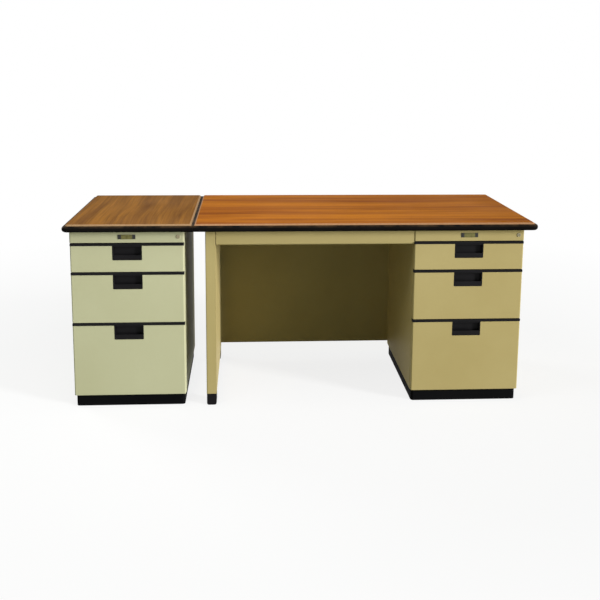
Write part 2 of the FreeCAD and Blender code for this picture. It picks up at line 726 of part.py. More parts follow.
def make_drawer_trim(unit, drawer):
    """Black strip along the top edge of a front."""
    outline = rectangle("0", "0", "front_thickness + trim_proud", "trim_height", "trim_round", None, None,
                        "trim_round")
    at = (f"{unit}_pedestal_x + front_side_gap", "front_y - trim_proud", f"{drawer}_z + {drawer}_front")
    return padded(f"{unit}_{drawer}_drawer_trim", "YZ", [outline], f"{unit}_front_width", at)


def make_drawer_pull(unit, drawer):
    """Black recessed cup with a lip for the fingers."""
    label = f"{unit}_{drawer}_drawer_pull"
    depth = "pull_depth + pull_proud"
    outline = rectangle("0", "0", "pull_width", "pull_height", "pull_corner", "pull_corner", None, None)
    at = (f"{unit}_pedestal_x + ({unit}_pedestal_width - pull_width) / 2", "front_y - pull_proud",
          f"{drawer}_z + {drawer}_front - pull_height")
    body = padded(label, "XZ", [outline], depth, at)
    back = f"{depth} - pull_wall"
    roof = "pull_height - pull_wall"
    pocket = [("-pull_wall", "pull_lip"), ("pull_wall", "pull_lip", "pull_wall / 2"),
              ("pull_wall", "pull_wall"), (back, "pull_wall", "pull_scoop"), (back, roof),
              ("-pull_wall", roof)]
    add_pocket(body, f"{label}_pocket", "YZ", [pocket], "pull_width - 2 * pull_wall", "pull_wall")
    return body


def make_drawer_box(unit, drawer):
    """Open steel box behind a front."""
    label = f"{unit}_{drawer}_drawer_box"
    height = f"{drawer}_front - box_lift - box_drop"
    width = f"{unit}_box_width"
    wall = "box_sheet"
    outline = rectangle("0", "0", width, "box_depth", f"bend + {wall}")
    at = (f"{unit}_pedestal_x + box_inset", "box_y", f"{drawer}_z + box_lift")
    body = padded(label, "XY", [outline], height, at)
    hollow = rectangle(wall, wall, f"{width} - 2 * {wall}", f"box_depth - 2 * {wall}", "bend")
    add_pocket(body, f"{label}_hollow", "XY", [hollow], height, wall)
    return body


def make_runner(label, unit, drawer, end, height, depth, gap, opens_in):
    """One folded runner beside a drawer, at a gap from the pedestal side's inner face."""
    opens = "right" if opens_in == (end == "left") else "left"
    fold = channel(height, depth, "runner_sheet", "runner_bend", opens)
    x = f"{unit}_pedestal_x + sheet + {gap}"
    if end == "right":
        x = f"{unit}_pedestal_x + {unit}_pedestal_width - sheet - ({gap}) - ({depth})"
    z = f"{drawer}_z + box_lift + runner_lift + (runner_height - ({height})) / 2"
    return padded(label, "XZ", [fold], "runner_length", (x, "runner_y", z))


def make_cabinet_runners():
    """Fixed channels on the pedestal sides, two to a drawer."""
    places = [(unit, drawer, end) for unit in UNITS for drawer in DRAWERS for end in ENDS]
    runners = [make_runner("cabinet_runner", *where, "runner_height", "cabinet_runner_depth", "0", True)
               for where in places]
    return group("cabinet_runners", runners)


def make_middle_runners(unit):
    """Middle members of a file drawer's runners, nested in the fixed channels."""
    runners = [make_runner(f"{unit}_middle_runner", unit, "file", end, "inner_runner_height",
                           "cabinet_runner_depth - nest_step", "nest_step", True) for end in ENDS]
    return group(f"{unit}_file_middle_runners", runners)


def make_drawer_runners(unit, drawer):
    """Runner members on a drawer box, nested in the channel beside them."""
    steps = 2 if drawer == "file" else 1
    height = "inmost_runner_height" if drawer == "file" else "inner_runner_height"
    gap = f"{steps} * nest_step"
    depth = f"runner_gap - {gap}"
    runners = [make_runner(f"{unit}_{drawer}_runner", unit, drawer, end, height, depth, gap, False)
               for end in ENDS]
    return group(f"{unit}_{drawer}_drawer_runners", runners)


def make_pedestal(unit):
    """Fixed panels of one pedestal."""
    sides = [make_side_panel(unit, end) for end in ENDS]
    return sides + [make_back_panel(unit), make_front_rail(unit), make_plinth(unit)]


def make_drawer(unit, drawer):
    """Pieces that slide out together."""
    makers = (make_drawer_front, make_drawer_trim, make_drawer_pull, make_drawer_box, make_drawer_runners)
    return [maker(unit, drawer) for maker in makers]


def make_all():
    """Every sub-part, in the order of the list in the report."""
    nodes = []
    for unit in UNITS:
        nodes += [make_top_board(unit), make_top_edging(unit)]
    nodes += make_leg()
    nodes += [make_apron(), make_modesty_panel()]
    for unit in UNITS:
        nodes += make_pedestal(unit)
    nodes.append(group("floor_pans", [make_floor_pan(unit) for unit in UNITS]))
    nodes += [make_stretchers(), make_link_plates(), make_screws(), make_cabinet_runners()]
    nodes.append(group("lock_barrels", [make_lock_barrel(unit) for unit in UNITS]))
    nodes.append(group("badge_plates", [make_badge(unit) for unit in UNITS]))
    for unit in UNITS:
        nodes += [make_lock_plug(unit), make_middle_runners(unit)]
        for drawer in DRAWERS:
            nodes += make_drawer(unit, drawer)
    return nodes


def check(nodes):
    """Stop on any broken object, so that no bad file is written."""
    for item in DOC.Objects:
        faults = [state for state in item.State if state in ("Invalid", "Error")]
        if faults:
            raise RuntimeError(f"{item.Label}: {item.State}")
    for node in nodes:
        if node.Shape.isNull() or not node.Shape.isValid() or not node.Shape.Solids:
            raise RuntimeError(f"{node.Label}: bad shape")


def export(nodes):
    """Write one STEP file for each sub-part."""
    os.makedirs("parts", exist_ok=True)
    for node in nodes:
        node.Shape.exportStep(f"parts/{node.Label}.step")
        print(f"{node.Label}: {len(node.Shape.Solids)} solids, {node.Shape.Volume / 1000:.1f} cm3")


SHEET = make_sheet()
make_places()
NODES = make_all()
DOC.recompute()
check(NODES)
export(NODES)
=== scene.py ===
"""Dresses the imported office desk: finishes, small fittings, studio and camera."""

from __future__ import annotations

import json
import logging
import math
from abc import ABC, abstractmethod
from dataclasses import dataclass
from enum import Enum
from typing import Any, Callable, Iterable, Sequence

import bmesh
import bpy
from mathutils import Matrix, Vector

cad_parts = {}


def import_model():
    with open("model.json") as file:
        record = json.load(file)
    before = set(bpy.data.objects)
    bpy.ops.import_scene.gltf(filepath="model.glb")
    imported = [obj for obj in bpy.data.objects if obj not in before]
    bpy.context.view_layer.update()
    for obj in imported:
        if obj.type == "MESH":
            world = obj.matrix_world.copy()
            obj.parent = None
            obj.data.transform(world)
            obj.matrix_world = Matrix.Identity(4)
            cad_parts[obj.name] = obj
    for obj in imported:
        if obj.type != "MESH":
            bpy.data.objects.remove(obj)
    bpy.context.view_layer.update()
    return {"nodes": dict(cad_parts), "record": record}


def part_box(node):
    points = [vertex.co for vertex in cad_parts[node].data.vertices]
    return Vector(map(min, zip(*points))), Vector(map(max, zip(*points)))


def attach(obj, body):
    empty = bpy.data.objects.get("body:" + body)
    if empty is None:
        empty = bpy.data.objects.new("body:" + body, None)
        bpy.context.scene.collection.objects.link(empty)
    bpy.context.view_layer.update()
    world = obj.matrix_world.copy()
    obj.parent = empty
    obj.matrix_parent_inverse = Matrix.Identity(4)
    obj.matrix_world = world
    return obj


LOG = logging.getLogger("desk")
MM = 0.001

Colour = tuple[float, float, float]
Place = tuple[float, float, float]
Point = tuple[float, float]
Socket = bpy.types.NodeSocket
Feed = Socket | float | Sequence[float]


class Unit(Enum):
    """The two butted units."""

    DESK = "desk"
    SIDE = "side"


class DrawerKind(Enum):
    """Drawers of a pedestal, from the top down."""

    TOP = "top"
    MIDDLE = "middle"
    FILE = "file"


class Grain(Enum):
    """Way that a top's wood grain runs, as a turn about the upright axis."""

    ACROSS = 0.0
    FRONT_TO_BACK = math.pi / 2


def linear(red: int, green: int, blue: int) -> Colour:
    """Turns a display colour into scene values.

    Args:
        red: Red, from 0 to 255.
        green: Green, from 0 to 255.
        blue: Blue, from 0 to 255.

    Returns:
        The linear colour.
    """
    def channel(value: int) -> float:
        """Undoes the display curve for one channel."""
        share = value / 255
        return share / 12.92 if share <= 0.04045 else ((share + 0.055) / 1.055) ** 2.4

    return channel(red), channel(green), channel(blue)


# Shader nodes

# Places of the colour sockets on a Mix node
MIX_FACTOR, MIX_FIRST, MIX_SECOND, MIX_RESULT = 0, 6, 7, 2


class Shading:
    """Short calls that add and link shader nodes in one tree."""

    def __init__(self, tree: bpy.types.NodeTree) -> None:
        """Keeps the tree that the nodes go into."""
        self.tree = tree

    def feed(self, socket: Socket, value: Feed) -> None:
        """Links a socket, or sets its constant.

        Args:
            socket: Input to fill.
            value: Another node's output, or a number, vector or colour.
        """
        if isinstance(value, bpy.types.NodeSocket):
            self.tree.links.new(value, socket)
        elif socket.type == "RGBA":
            socket.default_value = (*value, 1.0)
        else:
            socket.default_value = value

    def fill(self, node: bpy.types.Node, inputs: dict[str | int, Feed]) -> None:
        """Fills a node's sockets, by name or place."""
        for key, value in inputs.items():
            self.feed(node.inputs[key], value)

    def add(self, kind: str, inputs: dict[str | int, Feed] | None = None, **settings: Any) -> bpy.types.Node:
        """Adds a node.

        Args:
            kind: Type of the node, without its ShaderNode prefix.
            inputs: What goes into its sockets, by name or place.
            **settings: Its own properties.

        Returns:
            The node.
        """
        node = self.tree.nodes.new(f"ShaderNode{kind}")
        for name, value in settings.items():
            setattr(node, name, value)
        self.fill(node, inputs or {})
        return node

    def place(self) -> Socket:
        """Point on the piece, in metres in the frame of the rest pose."""
        return self.add("TexCoord").outputs["Object"]

    def stretch(self, vector: Feed, factors: Feed) -> Socket:
        """Scales a vector axis by axis."""
        return self.add("VectorMath", {0: vector, 1: factors}, operation="MULTIPLY").outputs[0]

    def spread(self, vector: Feed, size: Feed) -> Socket:
        """Divides a vector by a size, so that one unit is one feature."""
        scale = self.math("DIVIDE", 1.0, size)
        return self.add("VectorMath", {0: vector, "Scale": scale}, operation="SCALE").outputs[0]

    def noise(self, vector: Feed, detail: float = 2.0, roughness: float = 0.5, warp: float = 0.0) -> Socket:
        """Smooth noise with features about one unit across.

        Args:
            vector: Place, already scaled.
            detail: Number of finer layers.
            roughness: Strength of the finer layers.
            warp: Distortion of the place.

        Returns:
            A value around one half.
        """
        node = self.add("TexNoise", {"Vector": vector, "Scale": 1.0, "Detail": detail,
                                     "Roughness": roughness, "Distortion": warp})
        return node.outputs[0]

    def remap(self, value: Feed, low: Feed, high: float, start: float = 0.0, end: float = 1.0) -> Socket:
        """Maps a range of a value to another, clamped.

        Args:
            value: What is mapped.
            low: Value that gives the start.
            high: Value that gives the end.
            start: Least result.
            end: Greatest result.

        Returns:
            The mapped value.
        """
        node = self.add("MapRange", {"Value": value, "From Min": low, "From Max": high,
                                     "To Min": start, "To Max": end}, clamp=True)
        return node.outputs["Result"]

    def between(self, value: Feed, ends: Point) -> Socket:
        """Maps 0 and 1 to two ends."""
        return self.remap(value, 0.0, 1.0, *ends)

    def math(self, operation: str, first: Feed, second: Feed = 0.0) -> Socket:
        """Joins two values by an operation."""
        return self.add("Math", {0: first, 1: second}, operation=operation).outputs[0]

    def part(self, value: Feed, share: Feed) -> Socket:
        """Takes a share of a value."""
        return self.math("MULTIPLY", value, share)

    def blend(self, factor: Feed, first: Feed, second: Feed) -> Socket:
        """Mixes two colours.

        Args:
            factor: Share of the second.
            first: Colour at 0.
            second: Colour at 1.

        Returns:
            The mixed colour.
        """
        node = self.add("Mix", data_type="RGBA")
        self.fill(node, {MIX_FACTOR: factor, MIX_FIRST: first, MIX_SECOND: second})
        return node.outputs[MIX_RESULT]

    def bump(self, height: Feed, depth: float) -> Socket:
        """Turns a height, where 1 stands one depth in metres proud, into a bent normal."""
        return self.add("Bump", {"Height": height, "Distance": depth, "Strength": 1.0}).outputs["Normal"]

    def group(self, effect: Effect, **inputs: Feed) -> bpy.types.bpy_prop_collection:
        """Places a shared effect.

        Args:
            effect: The effect.
            **inputs: What goes into its sockets, by their names in small letters.

        Returns:
            Its outputs by name.
        """
        node = self.add("Group", node_tree=effect.tree())
        self.fill(node, {name.capitalize(): value for name, value in inputs.items()})
        return node.outputs


@dataclass(frozen=True)
class Effect:
    """A shader node group that several finishes share.

    Attributes:
        name: Name of the group.
        inputs: Names of the inputs with their starting values.
        outputs: Names of the outputs.
        wire: Function that fills the group and returns its outputs in order.
    """

    name: str
    inputs: dict[str, float | Sequence[float]]
    outputs: tuple[str, ...]
    wire: Callable[[Shading, dict[str, Socket]], Sequence[Socket]]

    def tree(self) -> bpy.types.NodeTree:
        """Gives the group, built on first use.

        Returns:
            The node group.
        """
        known = bpy.data.node_groups.get(self.name)
        if known is not None:
            return known
        tree = bpy.data.node_groups.new(self.name, "ShaderNodeTree")
        for name, start in self.inputs.items():
            kind = "NodeSocketFloat" if isinstance(start, float) else "NodeSocketVector"
            socket = tree.interface.new_socket(name, in_out="INPUT", socket_type=kind)
            socket.default_value = start
        for name in self.outputs:
            tree.interface.new_socket(name, in_out="OUTPUT", socket_type="NodeSocketFloat")
        source = tree.nodes.new("NodeGroupInput")
        sink = tree.nodes.new("NodeGroupOutput")
        made = self.wire(Shading(tree), {name: source.outputs[name] for name in self.inputs})
        for name, socket in zip(self.outputs, made):
            tree.links.new(socket, sink.inputs[name])
        return tree


# Ranges of the noises that the effects draw out to 0 and 1
CLOUD_SPAN = (0.32, 0.68)
RUB_SPAN = (0.40, 0.66)
DUST_SPAN = (0.38, 0.72)
SKIN_SPAN = (0.35, 0.65)
LINE_SPAN = (0.30, 0.70)
SWAY_SPAN = (0.20, 0.80)
BAND_SPAN = (0.34, 0.66)
STREAK_SPAN = (0.34, 0.70)
PORE_SPAN = (0.58, 0.68)

# Match of the rounded and the flat normal, from a flat face to a sharp edge
EDGE_SPAN = (0.99, 0.80)
EDGE_SAMPLES = 4

# Uneven gloss of a moulded skin is this much coarser than its pebbles
GLOSS_SCALE = (0.1, 0.1, 0.1)

# Features of the wood print to the metre along and across the grain, and its sway in metres
SWAY_SCALE = (1.0, 2.2, 1.0)
BAND_SCALE = (0.9, 15.0, 1.0)
STREAK_SCALE = (2.4, 150.0, 1.0)
PORE_SCALE = (34.0, 1100.0, 1.0)
GRAIN_SWAY = (-0.02, 0.02)


def wire_clouding(nodes: Shading, given: dict[str, Socket]) -> Sequence[Socket]:
    """Soft uneven patches, as in sprayed or handled surfaces.

    Args:
        nodes: The group's nodes.
        given: The group's inputs.

    Returns:
        The patches, from 0 to 1.
    """
    cloud = nodes.noise(nodes.spread(nodes.place(), given["Size"]), detail=4.0, roughness=0.55)
    return [nodes.remap(cloud, *CLOUD_SPAN)]


def wire_edge_rub(nodes: Shading, given: dict[str, Socket]) -> Sequence[Socket]:
    """Broken line along sharp edges where hands and brooms rub.

    Args:
        nodes: The group's nodes.
        given: The group's inputs.

    Returns:
        The rubbed share, from 0 to 1.
    """
    rounded = nodes.add("Bevel", {"Radius": given["Radius"]}, samples=EDGE_SAMPLES).outputs[0]
    flat = nodes.add("NewGeometry").outputs["Normal"]
    match = nodes.add("VectorMath", {0: rounded, 1: flat}, operation="DOT_PRODUCT").outputs["Value"]
    edge = nodes.remap(match, *EDGE_SPAN)
    patches = nodes.noise(nodes.spread(nodes.place(), given["Size"]), detail=3.0, roughness=0.6)
    return [nodes.part(edge, nodes.remap(patches, *RUB_SPAN))]


def wire_dust_and_highlight(nodes: Shading, given: dict[str, Socket]) -> Sequence[Socket]:
    """Thin dust on faces that look up, which on the black edging is mostly a painted highlight on its curved
    top.

    Args:
        nodes: The group's nodes.
        given: The group's inputs.

    Returns:
        The share of dust and painted highlight, from 0 to 1.
    """
    normal = nodes.add("NewGeometry").outputs["Normal"]
    upward = nodes.remap(nodes.add("SeparateXYZ", {0: normal}).outputs["Z"], given["Lean"], 1.0)
    patches = nodes.noise(nodes.spread(nodes.place(), given["Size"]), detail=5.0, roughness=0.65)
    return [nodes.part(upward, nodes.remap(patches, *DUST_SPAN))]


def wire_orange_peel(nodes: Shading, given: dict[str, Socket]) -> Sequence[Socket]:
    """Fine rounded lumps of sprayed enamel.

    Args:
        nodes: The group's nodes.
        given: The group's inputs.

    Returns:
        The height of the lumps, from 0 to 1.
    """
    spot = nodes.spread(nodes.place(), given["Size"])
    return [nodes.noise(spot, detail=1.0, roughness=0.4)]


def wire_moulded_skin(nodes: Shading, given: dict[str, Socket]) -> Sequence[Socket]:
    """Pebbled skin of moulded plastic.

    Args:
        nodes: The group's nodes.
        given: The group's inputs.

    Returns:
        The height of the pebbles and their uneven gloss, from 0 to 1.
    """
    spot = nodes.spread(nodes.place(), given["Size"])
    pebbles = nodes.add("TexVoronoi", {"Vector": spot, "Scale": 1.0}, feature="SMOOTH_F1").outputs["Distance"]
    gloss = nodes.noise(nodes.stretch(spot, GLOSS_SCALE), detail=3.0, roughness=0.6)
    return [pebbles, nodes.remap(gloss, *SKIN_SPAN)]


def wire_rolled_lines(nodes: Shading, given: dict[str, Socket]) -> Sequence[Socket]:
    """Long fine lines left by rolling or brushing.

    Args:
        nodes: The group's nodes.
        given: The group's inputs.

    Returns:
        The lines, from 0 to 1.
    """
    lines = nodes.noise(nodes.stretch(nodes.place(), given["Stretch"]), detail=4.0, roughness=0.7)
    return [nodes.remap(lines, *LINE_SPAN)]


def wire_wood_figure(nodes: Shading, given: dict[str, Socket]) -> Sequence[Socket]:
    """Printed wood figure with its grain along the first axis.

    Args:
        nodes: The group's nodes.
        given: The group's inputs.

    Returns:
        Broad bands, fine streaks and short pores, each from 0 to 1.
    """
    spot = given["Place"]
    sway = nodes.remap(nodes.noise(nodes.stretch(spot, SWAY_SCALE)), *SWAY_SPAN, *GRAIN_SWAY)
    shift = nodes.add("CombineXYZ", {"Y": sway}).outputs[0]
    bent = nodes.add("VectorMath", {0: spot, 1: shift}, operation="ADD").outputs[0]
    bands = nodes.noise(nodes.stretch(bent, BAND_SCALE), detail=4.0, roughness=0.6, warp=0.5)
    streaks = nodes.noise(nodes.stretch(bent, STREAK_SCALE), detail=5.0, roughness=0.62)
    pores = nodes.noise(nodes.stretch(bent, PORE_SCALE))
    spans = ((bands, BAND_SPAN), (streaks, STREAK_SPAN), (pores, PORE_SPAN))
    return [nodes.remap(value, *span) for value, span in spans]


CLOUDING = Effect("clouding", {"Size": 0.4}, ("Patches",), wire_clouding)
EDGE_RUB = Effect("edge_rub", {"Radius": 1.2 * MM, "Size": 30 * MM}, ("Mask",), wire_edge_rub)
# Faces that look up: real dust, and on the black edging a painted highlight on its curved top
DUST_AND_HIGHLIGHT = Effect("settled_dust_and_highlight", {"Size": 0.12, "Lean": 0.55}, ("Mask",), wire_dust_and_highlight)
ORANGE_PEEL = Effect("orange_peel", {"Size": 3 * MM}, ("Height",), wire_orange_peel)
MOULDED_SKIN = Effect("moulded_skin", {"Size": 0.9 * MM}, ("Height", "Gloss"), wire_moulded_skin)
ROLLED_LINES = Effect("rolled_lines", {"Stretch": (900.0, 4.0, 900.0)}, ("Lines",), wire_rolled_lines)
WOOD_FIGURE = Effect("wood_figure", {"Place": (0.0, 0.0, 0.0)}, ("Bands", "Streaks", "Pores"),
                     wire_wood_figure)


# Finishes


@dataclass(frozen=True)
class Finish(ABC):
    """A surface that a record slot names.

    Attributes:
        slot: Name of the slot.
        colour: Main colour.
    """

    slot: str
    colour: Colour

    def material(self) -> bpy.types.Material:
        """Makes the material.

        Returns:
            The material, named for its slot.
        """
        made = bpy.data.materials.new(f"{self.slot}_finish")
        made.use_nodes = True
        nodes = Shading(made.node_tree)
        shader = made.node_tree.nodes["Principled BSDF"]
        self.wire(nodes, shader)
        made.diffuse_color = (*self.colour, 1.0)
        return made

    @abstractmethod
    def wire(self, nodes: Shading, shader: bpy.types.Node) -> None:
        """Fills the material's nodes.

        Args:
            nodes: The material's nodes.
            shader: Its main shader.
        """


@dataclass(frozen=True)
class Paint(Finish):
    """Sprayed enamel on steel.

    Attributes:
        drift: Colour that the paint drifts to in soft patches.
        bare: Colour under the paint along rubbed edges.
        wear: Share of the edges' rubbing that shows.
        gloss: Least and greatest roughness.
        peel: Height of the orange peel in metres.
        dust: Colour of the dust on faces that look up.
        shine: Strength of the reflections.
        patch, patch_share: Size of the soft patches in metres and how much they drift.
        speck, speck_share: Size of the small specks in metres and how much they drift.
        rub_width, rub_size: Width of the rubbed edges and size of their breaks in metres.
        rub_roughness: Roughness that full rubbing adds.
        dust_size, dust_share: Size of the dusty patches in metres and how much they cover.
        peel_size: Size of the lumps of the orange peel in metres.
    """

    drift: Colour
    bare: Colour = linear(140, 134, 118)
    wear: float = 0.35
    gloss: Point = (0.48, 0.60)
    peel: float = 0.05 * MM
    dust: Colour = linear(196, 190, 176)
    shine: float = 0.06
    patch: float = 0.45
    patch_share: float = 0.75
    speck: float = 12 * MM
    speck_share: float = 0.10
    rub_width: float = 1.1 * MM
    rub_size: float = 35 * MM
    rub_roughness: float = 0.2
    dust_size: float = 0.15
    dust_share: float = 0.12
    peel_size: float = 3.4 * MM

    def wire(self, nodes: Shading, shader: bpy.types.Node) -> None:
        """Fills the enamel's nodes.

        Args:
            nodes: The material's nodes.
            shader: Its main shader.
        """
        patches = nodes.group(CLOUDING, size=self.patch)["Patches"]
        specks = nodes.group(CLOUDING, size=self.speck)["Patches"]
        rub = nodes.group(EDGE_RUB, radius=self.rub_width, size=self.rub_size)["Mask"]
        dust = nodes.group(DUST_AND_HIGHLIGHT, size=self.dust_size)["Mask"]
        peel = nodes.group(ORANGE_PEEL, size=self.peel_size)["Height"]
        tone = nodes.blend(nodes.part(patches, self.patch_share), self.colour, self.drift)
        shade = nodes.blend(nodes.part(specks, self.speck_share), tone, self.drift)
        worn = nodes.part(rub, self.wear)
        rubbed = nodes.blend(worn, shade, self.bare)
        dusty = nodes.blend(nodes.part(dust, self.dust_share), rubbed, self.dust)
        rough = nodes.math("ADD", nodes.between(specks, self.gloss), nodes.part(worn, self.rub_roughness))
        nodes.fill(shader, {"Base Color": dusty, "Roughness": rough, "Normal": nodes.bump(peel, self.peel),
                            "Specular IOR Level": self.shine})


@dataclass(frozen=True)
class Laminate(Finish):
    """Wood-print laminate on a board, with a painted highlight on its sloping rim and a raw underside.

    Attributes:
        pale: Colour of the broad light bands.
        dark: Colour of the streaks.
        rim: Colour of the sloping rim, a pale painted highlight.
        grain: Way that the grain runs.
        offset: Where the print starts, in metres.
        core: Colour of the raw board.
        patch: Size of the patches in which the streaks come and go, in metres.
        streak_share: Least and greatest strength of the streaks.
        pore_share: Strength of the pores.
        fibre, fibre_share: Size of the rim's mottling in metres and its strength.
        flat_from, slope_from: Least upward share of a face's direction on the print and on the rim.
        gloss: Least and greatest roughness.
        relief: Depth of the pores in metres.
        streak_relief: Height of the streaks as a share of that depth.
        shine: Strength of the reflections.
    """

    pale: Colour
    dark: Colour
    rim: Colour
    grain: Grain
    offset: float
    core: Colour = linear(96, 74, 50)
    patch: float = 0.5
    streak_share: Point = (0.35, 0.75)
    pore_share: float = 0.35
    fibre: float = 6 * MM
    fibre_share: float = 0.35
    flat_from: float = 0.9
    slope_from: float = 0.2
    gloss: Point = (0.52, 0.62)
    relief: float = 0.03 * MM
    streak_relief: float = 0.4
    shine: float = 0.015

    def wire(self, nodes: Shading, shader: bpy.types.Node) -> None:
        """Fills the laminate's nodes.

        Args:
            nodes: The material's nodes.
            shader: Its main shader.
        """
        turned = nodes.add("Mapping", {"Vector": nodes.place(), "Location": (self.offset, self.offset, 0.0),
                                       "Rotation": (0.0, 0.0, self.grain.value)}).outputs[0]
        figure = nodes.group(WOOD_FIGURE, place=turned)
        streaks, pores = figure["Streaks"], figure["Pores"]
        patches = nodes.group(CLOUDING, size=self.patch)["Patches"]
        bands = nodes.blend(figure["Bands"], self.colour, self.pale)
        uneven = nodes.part(streaks, nodes.between(patches, self.streak_share))
        streaked = nodes.blend(uneven, bands, self.dark)
        wood = nodes.blend(nodes.part(pores, self.pore_share), streaked, self.dark)
        facing = nodes.add("NewGeometry").outputs["True Normal"]
        upward = nodes.add("SeparateXYZ", {0: facing}).outputs["Z"]
        flat = nodes.math("GREATER_THAN", upward, self.flat_from)
        slope = nodes.math("GREATER_THAN", upward, self.slope_from)
        # The sloping rim is painted pale as a highlight, mottled with the wood's colour
        fibres = nodes.group(CLOUDING, size=self.fibre)["Patches"]
        rim = nodes.blend(nodes.part(fibres, self.fibre_share), self.rim, self.colour)
        edge = nodes.blend(slope, self.core, rim)
        relief = nodes.math("SUBTRACT", nodes.part(streaks, self.streak_relief), pores)
        nodes.fill(shader, {"Base Color": nodes.blend(flat, edge, wood),
                            "Roughness": nodes.between(patches, self.gloss),
                            "Normal": nodes.bump(relief, self.relief), "Specular IOR Level": self.shine})


@dataclass(frozen=True)
class Plastic(Finish):
    """Moulded or extruded plastic.

    Attributes:
        rubbed: Colour of scuffed edges, and of the haze and painted highlight on faces that look up.
        gloss: Least and greatest roughness.
        skin: Size of the pebbled skin in metres.
        relief: Height of the skin in metres.
        bloom_and_highlight: Share of the scuffed colour on faces that look up: a haze of dust, which on the
            black edging is mostly a painted highlight.
        lean: Least upward share of a face's direction at which the haze and painted highlight start.
        shine: Strength of the reflections.
        patch, patch_share: Size of the paler patches in metres and how pale they get.
        lift: Factor and amount that make the colour of those patches.
        rub_width, rub_size, rub_share: Width, size of breaks and strength of the scuffed edges.
        bloom_and_highlight_size: Size of the patches of haze and painted highlight, in metres.
    """

    rubbed: Colour = linear(74, 72, 70)
    gloss: Point = (0.36, 0.50)
    skin: float = 1.1 * MM
    relief: float = 0.03 * MM
    bloom_and_highlight: float = 0.15
    lean: float = 0.55
    shine: float = 0.10
    patch: float = 0.10
    patch_share: float = 0.6
    lift: Point = (1.7, 0.002)
    rub_width: float = 1.0 * MM
    rub_size: float = 20 * MM
    rub_share: float = 0.4
    bloom_and_highlight_size: float = 60 * MM

    def wire(self, nodes: Shading, shader: bpy.types.Node) -> None:
        """Fills the plastic's nodes.

        Args:
            nodes: The material's nodes.
            shader: Its main shader.
        """
        skin = nodes.group(MOULDED_SKIN, size=self.skin)
        patches = nodes.group(CLOUDING, size=self.patch)["Patches"]
        rub = nodes.group(EDGE_RUB, radius=self.rub_width, size=self.rub_size)["Mask"]
        # Faces that look up take the scuffed colour: a haze of dust, and on the black edging a painted
        # highlight on its curved top
        dust = nodes.group(DUST_AND_HIGHLIGHT, size=self.bloom_and_highlight_size, lean=self.lean)["Mask"]
        factor, amount = self.lift
        lifted = tuple(factor * channel + amount for channel in self.colour)
        tone = nodes.blend(nodes.part(patches, self.patch_share), self.colour, lifted)
        worn = nodes.blend(nodes.part(rub, self.rub_share), tone, self.rubbed)
        hazy_and_highlit = nodes.blend(nodes.part(dust, self.bloom_and_highlight), worn, self.rubbed)
        nodes.fill(shader, {"Base Color": hazy_and_highlit, "Roughness": nodes.between(skin["Gloss"], self.gloss),
                            "Normal": nodes.bump(skin["Height"], self.relief),
                            "Specular IOR Level": self.shine})


@dataclass(frozen=True)
class Metal(Finish):
    """Bare or plated metal with rolling lines.

    Attributes:
        tarnish: Colour of the duller patches.
        gloss: Least and greatest roughness.
        stretch: Number of lines to the metre on each axis.
        relief: Height of the lines in metres.
        patch, patch_share: Size of the duller patches in metres and their strength.
        line_share: Strength of the lines.
        rub_width, rub_size, rub_share: Width, size of breaks and strength of the bright edges.
        brightness: Factor that makes the colour of those edges.
    """

    tarnish: Colour
    gloss: Point = (0.25, 0.42)
    stretch: Place = (900.0, 5.0, 900.0)
    relief: float = 0.01 * MM
    patch: float = 50 * MM
    patch_share: float = 0.55
    line_share: float = 0.30
    rub_width: float = 0.6 * MM
    rub_size: float = 15 * MM
    rub_share: float = 0.5
    brightness: float = 1.25

    def wire(self, nodes: Shading, shader: bpy.types.Node) -> None:
        """Fills the metal's nodes.

        Args:
            nodes: The material's nodes.
            shader: Its main shader.
        """
        lines = nodes.group(ROLLED_LINES, stretch=self.stretch)["Lines"]
        patches = nodes.group(CLOUDING, size=self.patch)["Patches"]
        rub = nodes.group(EDGE_RUB, radius=self.rub_width, size=self.rub_size)["Mask"]
        dull = nodes.math("ADD", nodes.part(patches, self.patch_share), nodes.part(lines, self.line_share))
        dullest = self.patch_share + self.line_share
        bright = tuple(min(1.0, self.brightness * channel) for channel in self.colour)
        tone = nodes.blend(dull, self.colour, self.tarnish)
        edged = nodes.blend(nodes.part(rub, self.rub_share), tone, bright)
        nodes.fill(shader, {"Base Color": edged, "Roughness": nodes.remap(dull, 0.0, dullest, *self.gloss),
                            "Normal": nodes.bump(lines, self.relief), "Metallic": 1.0})


